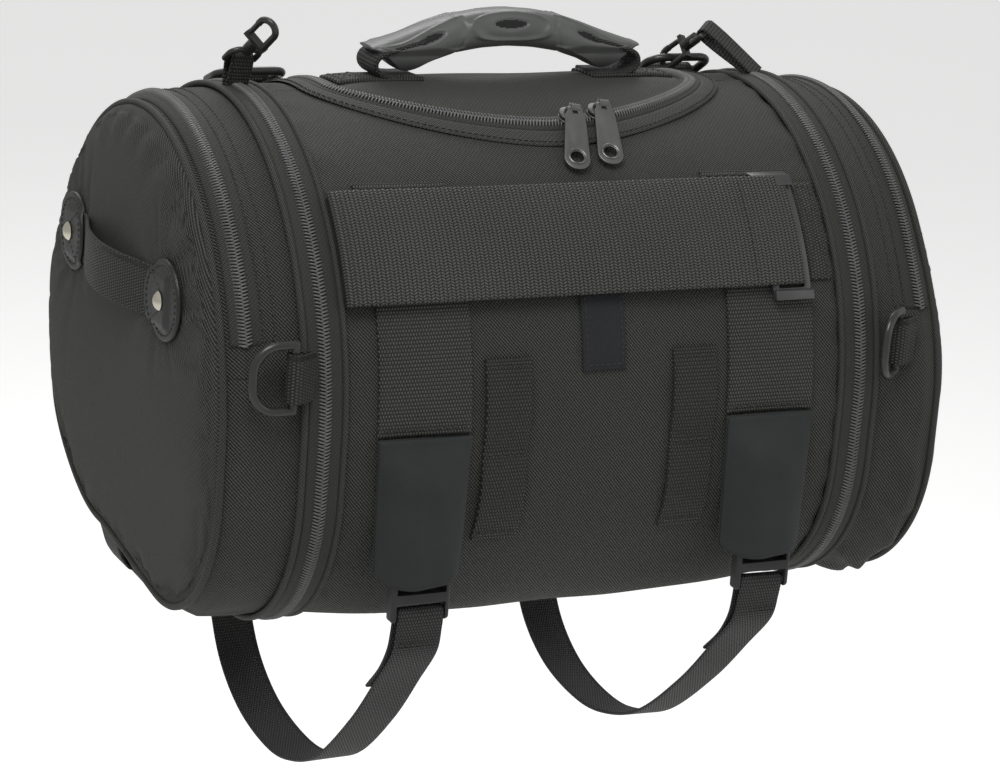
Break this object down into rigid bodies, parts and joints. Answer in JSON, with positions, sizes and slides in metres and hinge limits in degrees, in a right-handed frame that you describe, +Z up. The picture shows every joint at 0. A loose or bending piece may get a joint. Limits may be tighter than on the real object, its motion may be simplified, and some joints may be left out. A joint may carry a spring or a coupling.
{
  "type": "motorcycle tail bag",
  "caption": "Roll-shaped fabric tail bag with a zipped lid and carry handle, expandable end pockets, a wide sissy bar strap, buckled hanging straps and metal rings.",
  "frame": {"origin": "centre of the flat bottom of the main compartment", "axes": "+Z up, +X along the roll towards the end whose snap hook is clipped, the strapped mounting face looks towards -Y"},
  "size_m": [0.4528, 0.2932, 0.4177],
  "materials": {
    "twill_fabric": "matte twill",
    "lining": "smooth",
    "board": "matte",
    "zip_tape": "woven tape with moulded coil",
    "webbing": "ribbed webbing",
    "strap_webbing": "herringbone webbing",
    "hook_and_loop": "napped",
    "sleeve_fabric": "smooth stretch fabric",
    "buckle_plastic": "fine grain",
    "grip_rubber": "satin",
    "ring_metal": "satin black",
    "zip_metal": "gunmetal",
    "patch_vinyl": "fine grain",
    "rivet_metal": "polished pale nickel"
  },
  "bodies": {
    "bag": {"main_shell": "twill_fabric", "main_lining": "lining", "stiffener_boards": "board", "end_dividers": "lining", "body_pipings": "twill_fabric", "expansion_gussets": "twill_fabric", "expansion_zip_body_halves": "zip_tape", "lid_zip_body_half": "zip_tape", "vertical_webbings": "webbing", "daisy_webbings": "webbing", "hook_loop_patch": "hook_and_loop", "sissy_bar_strap": "strap_webbing", "strap_anchor_patch": "webbing", "buckle_sleeves": "sleeve_fabric", "female_buckles": "buckle_plastic", "top_ring_tabs": "webbing"},
    "lid": {"lid_panel": "twill_fabric", "lid_zip_lid_half": "zip_tape", "handle_web_tails": "webbing"},
    "handle": {"handle_grip": "grip_rubber", "handle_webbing": "webbing"},
    "triglide": {"strap_triglide": "buckle_plastic"},
    "slider_left": {"lid_slider_left": "zip_metal"},
    "pull_left": {"lid_pull_tab_left": "zip_metal"},
    "slider_right": {"lid_slider_right": "zip_metal"},
    "pull_right": {"lid_pull_tab_right": "zip_metal"},
    "left_male": {"left_male_buckle": "buckle_plastic", "left_lower_strap": "webbing"},
    "left_top_ring": {"left_top_ring": "ring_metal"},
    "left_end": {"left_end_wall": "twill_fabric", "left_end_lower_panel": "twill_fabric", "left_end_zip_tape": "zip_tape", "left_end_tabs": "webbing"},
    "left_flap": {"left_pocket_flap": "twill_fabric", "left_grab_handle": "webbing", "left_grab_patches": "patch_vinyl", "left_grab_rivets": "rivet_metal"},
    "left_side_ring": {"left_side_ring": "ring_metal"},
    "left_rear_ring": {"left_rear_ring": "ring_metal"},
    "right_male": {"right_male_buckle": "buckle_plastic", "right_lower_strap": "webbing"},
    "right_top_ring": {"right_top_ring": "ring_metal"},
    "right_end": {"right_end_wall": "twill_fabric", "right_end_lower_panel": "twill_fabric", "right_end_zip_tape": "zip_tape", "right_end_tabs": "webbing"},
    "right_flap": {"right_pocket_flap": "twill_fabric", "right_grab_handle": "webbing", "right_grab_patches": "patch_vinyl", "right_grab_rivets": "rivet_metal"},
    "right_side_ring": {"right_side_ring": "ring_metal"},
    "right_rear_ring": {"right_rear_ring": "ring_metal"},
    "left_eye": {"left_hook_eye": "ring_metal"},
    "left_hook": {"left_snap_hook": "ring_metal"},
    "left_gate": {"left_hook_gate": "ring_metal"},
    "right_eye": {"right_hook_eye": "ring_metal"},
    "right_hook": {"right_snap_hook": "ring_metal"},
    "right_gate": {"right_hook_gate": "ring_metal"}
  },
  "joints": [
    {"name": "lid_hinge", "type": "hinge", "parent": "bag", "child": "lid", "pos_m": [0, 0.06, 0.25051], "axis": [-1, 0, 0], "range_deg": [0, 110]},
    {"name": "handle_tip", "type": "hinge", "parent": "lid", "child": "handle", "pos_m": [0, 0.01, 0.28], "axis": [1, 0, 0], "range_deg": [-60, 60]},
    {"name": "triglide_slide", "type": "slide", "parent": "bag", "child": "triglide", "axis": [-1, 0, 0], "range_m": [0, 0.06]},
    {"name": "slider_left_travel", "type": "slide", "parent": "lid", "child": "slider_left", "axis": [1, 0, 0], "range_m": [-0.02, 0]},
    {"name": "pull_left_swing", "type": "hinge", "parent": "slider_left", "child": "pull_left", "pos_m": [0.013, -0.05507, 0.26253], "axis": [-0.9613, 0.2515, 0.1128], "range_deg": [0, 140]},
    {"name": "slider_right_travel", "type": "slide", "parent": "lid", "child": "slider_right", "axis": [1, 0, 0], "range_m": [0, 0.02]},
    {"name": "pull_right_swing", "type": "hinge", "parent": "slider_right", "child": "pull_right", "pos_m": [0.031, -0.0522, 0.26378], "axis": [-0.9781, 0.1916, 0.0807], "range_deg": [0, 140]},
    {"name": "left_buckle_release", "type": "slide", "parent": "bag", "child": "left_male", "axis": [0, 0, -1], "range_m": [0, 0.03]},
    {"name": "left_top_ring_swing", "type": "hinge", "parent": "bag", "child": "left_top_ring", "pos_m": [-0.129, 0.05872, 0.25715], "axis": [-1, 0, 0], "range_deg": [-5, 130]},
    {"name": "left_end_expand", "type": "slide", "parent": "bag", "child": "left_end", "axis": [-1, 0, 0], "range_m": [0, 0.035]},
    {"name": "left_flap_fold", "type": "hinge", "parent": "left_end", "child": "left_flap", "pos_m": [-0.2135, 0, 0.15], "axis": [0, -1, 0], "range_deg": [0, 90]},
    {"name": "left_side_ring_swing", "type": "hinge", "parent": "left_end", "child": "left_side_ring", "pos_m": [-0.172, -0.1395, 0.152], "axis": [0, 0, 1], "range_deg": [0, 165]},
    {"name": "left_rear_ring_swing", "type": "hinge", "parent": "left_end", "child": "left_rear_ring", "pos_m": [-0.176, 0.072, -0.013], "axis": [0, 1, 0], "range_deg": [-60, 60]},
    {"name": "right_buckle_release", "type": "slide", "parent": "bag", "child": "right_male", "axis": [0, 0, -1], "range_m": [0, 0.03]},
    {"name": "right_top_ring_swing", "type": "hinge", "parent": "bag", "child": "right_top_ring", "pos_m": [0.129, 0.05872, 0.25715], "axis": [-1, 0, 0], "range_deg": [-1.5, 1]},
    {"name": "right_end_expand", "type": "slide", "parent": "bag", "child": "right_end", "axis": [1, 0, 0], "range_m": [0, 0.012]},
    {"name": "right_flap_fold", "type": "hinge", "parent": "right_end", "child": "right_flap", "pos_m": [0.2135, 0, 0.15], "axis": [0, 1, 0], "range_deg": [0, 90]},
    {"name": "right_side_ring_swing", "type": "hinge", "parent": "right_end", "child": "right_side_ring", "pos_m": [0.172, -0.1395, 0.152], "axis": [0, 0, 1], "range_deg": [-35, 125]},
    {"name": "right_rear_ring_swing", "type": "hinge", "parent": "right_end", "child": "right_rear_ring", "pos_m": [0.176, 0.072, -0.013], "axis": [0, 1, 0], "range_deg": [-60, 60]},
    {"name": "left_eye_swing", "type": "hinge", "parent": "left_end", "child": "left_eye", "pos_m": [-0.152, 0.004, 0.2795], "axis": [-0.9782, -0.1846, 0.095], "range_deg": [-25, 25]},
    {"name": "left_hook_swivel", "type": "hinge", "parent": "left_eye", "child": "left_hook", "pos_m": [-0.152, 0.004, 0.2795], "axis": [0.2006, -0.7222, 0.662], "continuous": true},
    {"name": "left_gate_open", "type": "hinge", "parent": "left_hook", "child": "left_gate", "pos_m": [-0.15069, -0.00821, 0.2966], "axis": [0.8202, 0.4933, 0.2896], "range_deg": [0, 25]},
    {"name": "right_eye_swing", "type": "hinge", "parent": "right_end", "child": "right_eye", "pos_m": [0.13237, 0.02351, 0.28666], "axis": [0.7054, 0.6659, 0.2427], "range_deg": [-1, 0.5]},
    {"name": "right_hook_swivel", "type": "hinge", "parent": "right_eye", "child": "right_hook", "pos_m": [0.13237, 0.02351, 0.28666], "axis": [-0.3906, 0.6509, -0.6509], "range_deg": [-8, 8]},
    {"name": "right_gate_open", "type": "hinge", "parent": "right_hook", "child": "right_gate", "pos_m": [0.1244, 0.04046, 0.27706], "axis": [-0.9206, -0.2762, 0.2762], "range_deg": [0, 25]}
  ]
}
